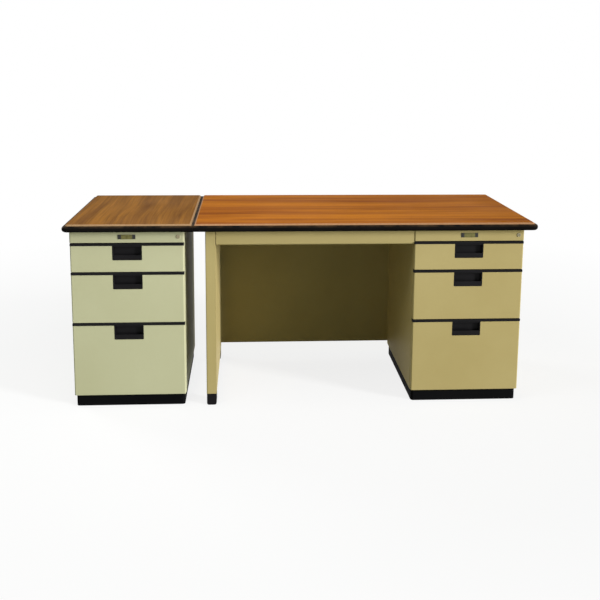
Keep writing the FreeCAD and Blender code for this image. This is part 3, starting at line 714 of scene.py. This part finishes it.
@dataclass(frozen=True)
class Plate(Finish):
    """Bare anodised plate with dark painted ends.

    Attributes:
        ends: Colour of the ends.
        middles: Middle of each plate along the width, in metres.
        clear: Half the length between the dark ends, in metres.
        fade: Width of the soft edge of the ends, in metres.
        stretch: Number of brushed lines to the metre on each axis.
        line_share: Strength of the lines.
        brightness: Factor that makes the colour of the lines.
        patch, patch_share: Size of the darkened patches in metres and their strength.
        gloss: Least and greatest roughness.
        metal: Share of bare metal between the ends and on them.
        relief: Height of the lines in metres.
    """

    ends: Colour
    middles: Point
    clear: float = 21 * MM
    fade: float = 1.2 * MM
    stretch: Place = (6.0, 900.0, 2200.0)
    line_share: float = 0.6
    brightness: float = 1.5
    patch: float = 12 * MM
    patch_share: float = 0.45
    gloss: Point = (0.35, 0.55)
    metal: Point = (0.7, 0.0)
    relief: float = 0.01 * MM

    def wire(self, nodes: Shading, shader: bpy.types.Node) -> None:
        """Fills the plate's nodes.

        Args:
            nodes: The material's nodes.
            shader: Its main shader.
        """
        across = nodes.add("SeparateXYZ", {0: nodes.place()}).outputs["X"]
        gaps = [nodes.math("ABSOLUTE", nodes.math("SUBTRACT", across, middle)) for middle in self.middles]
        out = nodes.math("MINIMUM", *gaps)
        lines = nodes.group(ROLLED_LINES, stretch=self.stretch)["Lines"]
        patches = nodes.group(CLOUDING, size=self.patch)["Patches"]
        painted = nodes.remap(out, self.clear, self.clear + self.fade)
        pale = tuple(self.brightness * channel for channel in self.colour)
        brushed = nodes.blend(nodes.part(lines, self.line_share), self.colour, pale)
        aged = nodes.blend(nodes.part(patches, self.patch_share), brushed, self.ends)
        nodes.fill(shader, {"Base Color": nodes.blend(painted, aged, self.ends),
                            "Roughness": nodes.between(patches, self.gloss),
                            "Metallic": nodes.between(painted, self.metal),
                            "Normal": nodes.bump(lines, self.relief)})


BLACK = linear(17, 16, 18)
FINISHES: tuple[Finish, ...] = (
    # The fourth colour of each laminate is the pale painted highlight on its sloping rim
    Laminate("desk_laminate", linear(142, 73, 8), linear(198, 120, 20), linear(94, 44, 4),
             linear(168, 130, 96), Grain.ACROSS, 0.0),
    Laminate("side_laminate", linear(110, 69, 22), linear(158, 106, 38), linear(78, 46, 14),
             linear(160, 130, 96), Grain.FRONT_TO_BACK, 3.7),
    # On the black edging, brown over faces that look up is a painted highlight on its curved top; on its
    # sharp edges the same brown marks scuffs
    Plastic("edging_black", linear(14, 12, 11), rubbed=linear(112, 86, 58), gloss=(0.46, 0.58), skin=1.6 * MM,
            relief=0.01 * MM, bloom_and_highlight=0.5, lean=0.25, shine=0.015),
    Plastic("trim_black", BLACK, gloss=(0.28, 0.38), skin=2 * MM, relief=0.008 * MM),
    Plastic("pull_black", linear(15, 14, 16)),
    Plastic("foot_black", BLACK, gloss=(0.45, 0.6)),
    Paint("desk_paint", linear(181, 165, 114), linear(171, 154, 102)),
    Paint("side_paint", linear(192, 191, 157), linear(184, 182, 146)),
    Paint("drawer_paint", linear(176, 168, 132), linear(164, 156, 120), gloss=(0.45, 0.60), wear=0.5),
    Paint("plinth_black", linear(14, 14, 16), linear(20, 20, 21), bare=linear(92, 90, 86),
          gloss=(0.55, 0.70), dust=linear(120, 116, 108), shine=0.01),
    Metal("runner_steel", linear(178, 178, 174), linear(140, 138, 132)),
    Metal("zinc_steel", linear(186, 184, 172), linear(150, 146, 132), stretch=(300.0, 300.0, 300.0)),
    Metal("lock_chrome", linear(172, 164, 134), linear(128, 120, 96), gloss=(0.12, 0.28),
          stretch=(700.0, 40.0, 700.0)),
    Plate("badge_metal", linear(112, 108, 62), linear(18, 18, 14), (0.667, -0.691)),
)


# Meshes

WELD_GAP = 0.001 * MM
FLAT_ANGLE = math.radians(0.3)
SHARP_ANGLE = math.radians(40.0)
SOFT_STEPS = 2
LARGE_FACE_WEIGHT = 90
DOME_SIDES, DOME_ROWS = 16, 4


def soften(piece: bpy.types.Object, width: float) -> None:
    """Rounds the sharp edges of a piece that keeps its own mesh.

    Args:
        piece: The piece.
        width: Width of the rounding in metres.
    """
    weld = piece.modifiers.new("weld", "WELD")
    weld.merge_threshold = WELD_GAP
    flat = piece.modifiers.new("flat_faces", "DECIMATE")
    flat.decimate_type = "DISSOLVE"
    flat.angle_limit = FLAT_ANGLE
    bevel = piece.modifiers.new("soft_edges", "BEVEL")
    bevel.width = width
    bevel.segments = SOFT_STEPS
    bevel.limit_method = "ANGLE"
    bevel.angle_limit = SHARP_ANGLE
    bevel.use_clamp_overlap = True
    normals = piece.modifiers.new("smooth_faces", "WEIGHTED_NORMAL")
    normals.weight = LARGE_FACE_WEIGHT


@dataclass(frozen=True)
class RoundedLoop:
    """Closed rectangle with round corners, which a profile is swept round.

    Attributes:
        centre: Middle of the rectangle.
        along: Half of its first side, as a vector.
        across: Half of its second side, as a vector.
        radius: Radius of the corners.
        steps: Number of faces in each corner.
    """

    centre: Vector
    along: Vector
    across: Vector
    radius: float
    steps: int = 5

    def stations(self) -> list[tuple[Vector, Vector]]:
        """Points round the loop.

        Returns:
            Each point with its direction towards the inside.
        """
        first, second = self.along.normalized(), self.across.normalized()
        long, short = self.along - self.radius * first, self.across - self.radius * second
        found = []
        for quarter, (one, two) in enumerate(((1, 1), (-1, 1), (-1, -1), (1, -1))):
            corner = self.centre + one * long + two * short
            for step in range(self.steps + 1):
                angle = (quarter + step / self.steps) * math.pi / 2
                outward = math.cos(angle) * first + math.sin(angle) * second
                found.append((corner + self.radius * outward, -outward))
        return found

    def sweep(self, name: str, profile: Sequence[Point], rise: Vector) -> bpy.types.Object:
        """Sweeps a closed profile round the loop.

        Args:
            name: Name of the piece.
            profile: Corners as distance inwards and height.
            rise: Direction of the height.

        Returns:
            The piece.
        """
        mesh = bmesh.new()
        rings = [[mesh.verts.new(point + inward * depth + rise * height) for depth, height in profile]
                 for point, inward in self.stations()]
        count = len(profile)
        for ring, after in zip(rings, rings[1:] + rings[:1]):
            for index in range(count):
                follow = (index + 1) % count
                mesh.faces.new((ring[index], after[index], after[follow], ring[follow]))
        return to_piece(name, mesh)


def to_piece(name: str, mesh: bmesh.types.BMesh) -> bpy.types.Object:
    """Turns an edited mesh into a smooth-shaded object in the scene.

    Args:
        name: Name of the object and its mesh.
        mesh: The edited mesh, which is freed.

    Returns:
        The object.
    """
    bmesh.ops.recalc_face_normals(mesh, faces=mesh.faces)
    data = bpy.data.meshes.new(name)
    mesh.to_mesh(data)
    mesh.free()
    data.shade_smooth()
    piece = bpy.data.objects.new(name, data)
    bpy.context.scene.collection.objects.link(piece)
    return piece


def half_round(width: float, height: float, steps: int = 6) -> list[Point]:
    """Profile with a flat foot and a round top.

    Args:
        width: Width of the foot.
        height: Full height, with the round top.
        steps: Number of faces in the round.

    Returns:
        Corners from the inner foot round the top.
    """
    radius = width / 2
    turn = [math.pi * step / steps for step in range(steps + 1)]
    top = [(radius - radius * math.cos(angle), height - radius + radius * math.sin(angle)) for angle in turn]
    return [(0.0, 0.0), *top, (width, 0.0)]


def add_dome(mesh: bmesh.types.BMesh, centre: Vector, radius: float, height: float, rise: Vector) -> None:
    """Adds a low domed head.

    Args:
        mesh: The edited mesh that gets it.
        centre: Middle of its foot.
        radius: Radius of its foot.
        height: Height of the dome.
        rise: Direction of its height.
    """
    side = rise.orthogonal().normalized()
    turn = Matrix.Rotation(2 * math.pi / DOME_SIDES, 3, rise)
    rings = []
    for row in range(DOME_ROWS):
        angle = row / DOME_ROWS * math.pi / 2
        spoke = side * radius * math.cos(angle)
        ring = []
        for _ in range(DOME_SIDES):
            ring.append(mesh.verts.new(centre + spoke + rise * height * math.sin(angle)))
            spoke = turn @ spoke
        rings.append(ring)
    for ring, above in zip(rings, rings[1:]):
        for index in range(DOME_SIDES):
            follow = (index + 1) % DOME_SIDES
            mesh.faces.new((ring[index], ring[follow], above[follow], above[index]))
    mesh.faces.new(rings[-1])
    mesh.faces.new(list(reversed(rings[0])))


# Sub-assemblies


@dataclass
class Workshop:
    """What every sub-assembly draws on.

    Attributes:
        nodes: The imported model's objects by name.
        slots: Each node's record slot.
        finishes: Materials by slot.
    """

    nodes: dict[str, bpy.types.Object]
    slots: dict[str, str]
    finishes: dict[str, bpy.types.Material]

    def coat(self, piece: bpy.types.Object, slot: str) -> None:
        """Puts a slot's material on a piece.

        Args:
            piece: The piece.
            slot: Name of the slot.
        """
        made = self.finishes[slot]
        if piece.material_slots:
            for place in piece.material_slots:
                place.material = made
        else:
            piece.data.materials.append(made)
        LOG.info("%s: %s", piece.name, made.name)

    def fit(self, piece: bpy.types.Object, slot: str, body: str) -> None:
        """Coats a new piece and lets it ride on a body.

        Args:
            piece: The piece.
            slot: Name of its slot.
            body: Name of the body that carries it.
        """
        self.coat(piece, slot)
        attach(piece, body)


@dataclass
class SubAssembly(ABC):
    """Pieces that are made and dressed together.

    Attributes:
        shop: Nodes, slots and finishes.
        edge: Width of the softened edges in metres, or 0 to leave them.
    """

    shop: Workshop
    edge: float = 0.6 * MM

    @abstractmethod
    def names(self) -> Iterable[str]:
        """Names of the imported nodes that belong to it."""

    def build(self) -> None:
        """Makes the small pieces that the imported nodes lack."""

    def softening(self, name: str) -> float:
        """Width of a node's softened edges."""
        return self.edge

    def dress(self) -> None:
        """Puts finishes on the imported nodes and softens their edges."""
        for name in self.names():
            piece = self.shop.nodes[name]
            self.shop.coat(piece, self.shop.slots[name])
            width = self.softening(name)
            if width:
                soften(piece, width)


@dataclass
class UnitAssembly(SubAssembly):
    """Sub-assembly that each unit has.

    Attributes:
        unit: The unit that it belongs to.
    """

    unit: Unit = Unit.DESK


@dataclass
class Worktop(UnitAssembly):
    """One top: its board and the black edging round it."""

    edge: float = 0.0

    def names(self) -> Iterable[str]:
        """Names of the board and the edging."""
        return f"{self.unit.value}_top_board", f"{self.unit.value}_top_edging"


@dataclass
class PanelLeg(SubAssembly):
    """Folded leg at the left of the kneehole, with its two feet."""

    def names(self) -> Iterable[str]:
        """Names of the leg's pieces."""
        return "leg_outer_pan", "leg_inner_panel", "leg_feet"


@dataclass
class Kneehole(SubAssembly):
    """Apron over the kneehole and panel at its back."""

    def names(self) -> Iterable[str]:
        """Names of the two panels."""
        return "kneehole_apron", "modesty_panel"


@dataclass
class Pedestal(UnitAssembly):
    """Fixed panels of one drawer pedestal."""

    def names(self) -> Iterable[str]:
        """Names of the sides, back, rail and plinth."""
        return [f"{self.unit.value}_{part}"
                for part in ("left_side", "right_side", "back_panel", "front_rail", "plinth")]


@dataclass
class Structure(SubAssembly):
    """Pans, channels, plates and screws that hold the units together."""

    edge: float = 0.0

    def names(self) -> Iterable[str]:
        """Names of the hidden steel pieces."""
        return "floor_pans", "top_stretchers", "link_plates", "top_screws", "cabinet_runners"


@dataclass
class RailFittings(SubAssembly):
    """Locks and bare plates on the two rails.

    Attributes:
        rivet_radius: Radius of a plate's rivets.
        rivet_height: Height of a rivet's dome.
        rivet_inset: Distance of a rivet from the plate's end.
        rim_width: Width of the raised rim round a plate.
        rim_height: Height of that rim.
        plate_width: Width of a plate.
        plate_corner: Radius of a plate's corners.
    """

    edge: float = 0.25 * MM
    rivet_radius: float = 1.7 * MM
    rivet_height: float = 0.8 * MM
    rivet_inset: float = 5.5 * MM
    rim_width: float = 1.3 * MM
    rim_height: float = 0.9 * MM
    plate_width: float = 68.0 * MM
    plate_corner: float = 2.0 * MM

    def names(self) -> Iterable[str]:
        """Names of the barrels, plates and plugs."""
        return "lock_barrels", "badge_plates", *(f"{unit.value}_lock_plug" for unit in Unit)

    def build(self) -> None:
        """Makes a rim and two rivets on each plate."""
        out = Vector((0.0, -1.0, 0.0))
        low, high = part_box("badge_plates")
        along = Vector((self.plate_width / 2, 0.0, 0.0))
        across = Vector((0.0, 0.0, (high.z - low.z) / 2))
        to_rivet = Vector((self.plate_width / 2 - self.rivet_inset, 0.0, 0.0))
        for unit in Unit:
            rail_low, rail_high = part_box(f"{unit.value}_front_rail")
            centre = Vector(((rail_low.x + rail_high.x) / 2, low.y, (low.z + high.z) / 2))
            loop = RoundedLoop(centre, along, across, self.plate_corner)
            rim = loop.sweep(f"{unit.value}_plate_rim", half_round(self.rim_width, self.rim_height), out)
            self.shop.fit(rim, "badge_metal", "frame")
            mesh = bmesh.new()
            for side in (-1, 1):
                add_dome(mesh, centre + side * to_rivet, self.rivet_radius, self.rivet_height, out)
            rivets = to_piece(f"{unit.value}_plate_rivets", mesh)
            self.shop.fit(rivets, "pull_black", "frame")


@dataclass
class Drawer(UnitAssembly):
    """One drawer: front, strip, pull, box and runners, with a folded rim on the box.

    Attributes:
        kind: Which drawer of the pedestal it is.
        hem_thickness: Thickness of the folded rim.
        hem_depth: Depth of the fold below the box's top edge.
        hem_rise: Height of the rim over that edge.
        hem_proud: Amount that the rim stands out of the box's outer face.
        box_corner: Radius of the box's outer corners.
    """

    kind: DrawerKind = DrawerKind.TOP
    hem_thickness: float = 2.4 * MM
    hem_depth: float = 6.0 * MM
    hem_rise: float = 0.4 * MM
    hem_proud: float = 0.15 * MM
    box_corner: float = 2.8 * MM

    @property
    def body(self) -> str:
        """Name of the sliding body."""
        return f"{self.unit.value}_{self.kind.value}_drawer"

    def names(self) -> Iterable[str]:
        """Names of the drawer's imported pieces."""
        return [f"{self.body}_{part}" for part in ("front", "trim", "pull", "box", "runners")]

    def build(self) -> None:
        """Makes the folded rim round the top of the box."""
        low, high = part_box(f"{self.body}_box")
        proud = Vector((self.hem_proud, self.hem_proud, 0.0))
        half = (high - low) / 2 + proud
        foot = high.z - self.hem_depth
        centre = Vector(((low.x + high.x) / 2, (low.y + high.y) / 2, foot))
        loop = RoundedLoop(centre, Vector((half.x, 0.0, 0.0)), Vector((0.0, half.y, 0.0)),
                           self.box_corner + self.hem_proud)
        profile = half_round(self.hem_thickness, self.hem_depth + self.hem_rise)
        rim = loop.sweep(f"{self.body}_box_rim", profile, Vector((0.0, 0.0, 1.0)))
        self.shop.fit(rim, "drawer_paint", self.body)

    def softening(self, name: str) -> float:
        """Width of a node's softened edges, or 0 for the thin sheet."""
        return 0.0 if name.endswith(("_box", "_runners")) else self.edge


@dataclass
class FileSlides(UnitAssembly):
    """Middle runner members of a file drawer."""

    edge: float = 0.0

    def names(self) -> Iterable[str]:
        """Name of the middle members."""
        return (f"{self.unit.value}_file_middle_runners",)


# Studio

WHITE: Colour = (1.0, 1.0, 1.0)


@dataclass(frozen=True)
class SoftBox:
    """A large soft lamp.

    Attributes:
        name: Name of the lamp.
        place: Where it hangs, in metres.
        aim: Point that it faces.
        size: Width and height.
        power: Power in watts.
    """

    name: str
    place: Place
    aim: Place
    size: Point
    power: float

    def build(self) -> None:
        """Hangs the lamp."""
        data = bpy.data.lights.new(self.name, "AREA")
        data.shape = "RECTANGLE"
        data.size, data.size_y = self.size
        data.energy = self.power
        lamp = bpy.data.objects.new(self.name, data)
        lamp.location = self.place
        facing = Vector(self.aim) - Vector(self.place)
        lamp.rotation_euler = facing.to_track_quat("-Z", "Y").to_euler()
        bpy.context.scene.collection.objects.link(lamp)


@dataclass
class Studio:
    """White floor and background with soft lamps.

    Attributes:
        ambient: Colour and strength of the light from all round.
        floor_glow: Share of the floor that shows as plain white, near the desk and far from it.
        floor_reach: Distances from the desk's middle between which that share grows.
        floor_colour: Colour of the floor in the light that it throws on the desk.
        floor_shown: Colour of the floor as it is seen, with the desk's shadow.
        floor_half: Half the floor's side in metres.
        lamps: The soft lamps.
    """

    ambient: Colour = (0.112, 0.126, 0.102)
    floor_glow: Point = (0.82, 1.0)
    floor_reach: Point = (1.4, 3.4)
    floor_colour: Colour = (0.34, 0.37, 0.30)
    floor_shown: Colour = (0.95, 0.95, 0.95)
    floor_half: float = 30.0
    lamps: tuple[SoftBox, ...] = (
        SoftBox("key_lamp", (13.63, -9.05, 4.3), (0.0, -0.2, 0.45), (2.6, 8.4), 4010.0),
        SoftBox("top_lamp", (-0.6, -0.8, 2.2), (-0.5, 0.0, 0.7), (1.2, 1.2), 20.0),
        SoftBox("back_lamp", (-7.5, 6.0, 3.2), (0.0, 0.3, 0.4), (4.0, 3.0), 560.0),
    )

    def build(self) -> None:
        """Makes the world, the floor and the lamps."""
        bpy.context.scene.view_settings.view_transform = "Standard"
        self.build_world()
        self.build_floor()
        for lamp in self.lamps:
            lamp.build()

    @staticmethod
    def seen(nodes: Shading) -> Socket:
        """Tells the rays that show the background from those that only light.

        Args:
            nodes: Nodes of the material or the world.

        Returns:
            1 for camera, glossy and see-through rays.
        """
        path = nodes.add("LightPath").outputs
        mirror = nodes.math("MAXIMUM", path["Is Glossy Ray"], path["Is Transmission Ray"])
        return nodes.math("MAXIMUM", path["Is Camera Ray"], mirror)

    def build_world(self) -> None:
        """Makes a white background that lights the desk softly."""
        world = bpy.data.worlds.new("white_room")
        world.use_nodes = True
        bpy.context.scene.world = world
        nodes = Shading(world.node_tree)
        world.node_tree.nodes.clear()
        glow = nodes.add("Background", {"Color": self.ambient, "Strength": 1.0})
        white = nodes.add("Background", {"Color": WHITE, "Strength": 1.0})
        both = nodes.add("MixShader", {0: self.seen(nodes), 1: glow.outputs[0], 2: white.outputs[0]})
        nodes.add("OutputWorld", {"Surface": both.outputs[0]})

    def build_floor(self) -> None:
        """Makes the pale floor, which keeps the desk's shadow."""
        mesh = bmesh.new()
        bmesh.ops.create_grid(mesh, x_segments=1, y_segments=1, size=self.floor_half)
        floor = to_piece("floor", mesh)
        paint = bpy.data.materials.new("floor_white")
        paint.use_nodes = True
        paint.node_tree.nodes.clear()
        nodes = Shading(paint.node_tree)
        matt = nodes.add("BsdfDiffuse", {"Color": self.floor_colour})
        pale = nodes.add("BsdfDiffuse", {"Color": self.floor_shown})
        white = nodes.add("Emission", {"Color": WHITE, "Strength": 1.0})
        away = nodes.add("VectorMath", {0: nodes.place()}, operation="LENGTH").outputs["Value"]
        glow = nodes.remap(away, *self.floor_reach, *self.floor_glow)
        shown = nodes.add("MixShader", {0: glow, 1: pale.outputs[0], 2: white.outputs[0]})
        both = nodes.add("MixShader", {0: self.seen(nodes), 1: matt.outputs[0], 2: shown.outputs[0]})
        nodes.add("OutputMaterial", {"Surface": both.outputs[0]})
        floor.data.materials.append(paint)


@dataclass(frozen=True)
class PhotoCamera:
    """Camera at the photograph's viewing angle.

    Attributes:
        place: Where it stands, in metres.
        down: Tilt down in degrees.
        right: Turn to the right in degrees.
        roll: Turn about the line of sight in degrees.
        focal: Focal length in pixels of the photograph.
        side: Side of the photograph in pixels.
        middle: Height of the optical centre in the photograph, in pixels from its top.
        sensor: Width of the sensor in millimetres.
        reach: Greatest distance that it shows, in metres.
    """

    place: Place = (-0.21709, -3.72777, 1.39127)
    down: float = 9.23
    right: float = 3.44
    roll: float = -0.39
    focal: float = 875.05
    side: float = 600.0
    middle: float = 200.0
    sensor: float = 36.0
    reach: float = 60.0

    def build(self) -> None:
        """Makes the camera and gives it to the scene."""
        data = bpy.data.cameras.new("photo_camera")
        data.sensor_width = self.sensor
        data.lens = self.focal * self.sensor / self.side
        data.shift_y = (self.middle - self.side / 2) / self.side
        data.clip_end = self.reach
        camera = bpy.data.objects.new("photo_camera", data)
        camera.matrix_world = self.pose()
        bpy.context.scene.collection.objects.link(camera)
        bpy.context.scene.camera = camera

    def pose(self) -> Matrix:
        """Place and directions of the camera.

        Returns:
            The camera's matrix.
        """
        down, right, roll = (math.radians(angle) for angle in (self.down, self.right, self.roll))
        ahead = Vector((math.sin(right) * math.cos(down), math.cos(right) * math.cos(down), -math.sin(down)))
        level = Vector((math.cos(right), -math.sin(right), 0.0))
        below = ahead.cross(level)
        side = math.cos(roll) * level + math.sin(roll) * below
        under = math.cos(roll) * below - math.sin(roll) * level
        columns = Matrix((side, -under, -ahead)).transposed()
        return Matrix.Translation(self.place) @ columns.to_4x4()


def make_parts(shop: Workshop) -> list[SubAssembly]:
    """Lists the sub-assemblies in the order that they are made.

    Args:
        shop: Nodes, slots and finishes.

    Returns:
        The sub-assemblies.
    """
    parts: list[SubAssembly] = [PanelLeg(shop), Kneehole(shop), Structure(shop), RailFittings(shop)]
    for unit in Unit:
        parts += [Worktop(shop, unit=unit), Pedestal(shop, unit=unit), FileSlides(shop, unit=unit)]
        parts += [Drawer(shop, unit=unit, kind=kind) for kind in DrawerKind]
    return parts


def main() -> None:
    """Builds and dresses every sub-assembly, then the studio and the camera."""
    logging.basicConfig(level=logging.INFO, format="%(name)s: %(message)s")
    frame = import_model()
    slots = {part["node"]: part["material_slot"] for part in frame["record"]["subparts"]}
    shop = Workshop(frame["nodes"], slots, {finish.slot: finish.material() for finish in FINISHES})
    for part in make_parts(shop):
        part.build()
        part.dress()
    Studio().build()
    PhotoCamera().build()


if __name__ == "__main__":
    main()
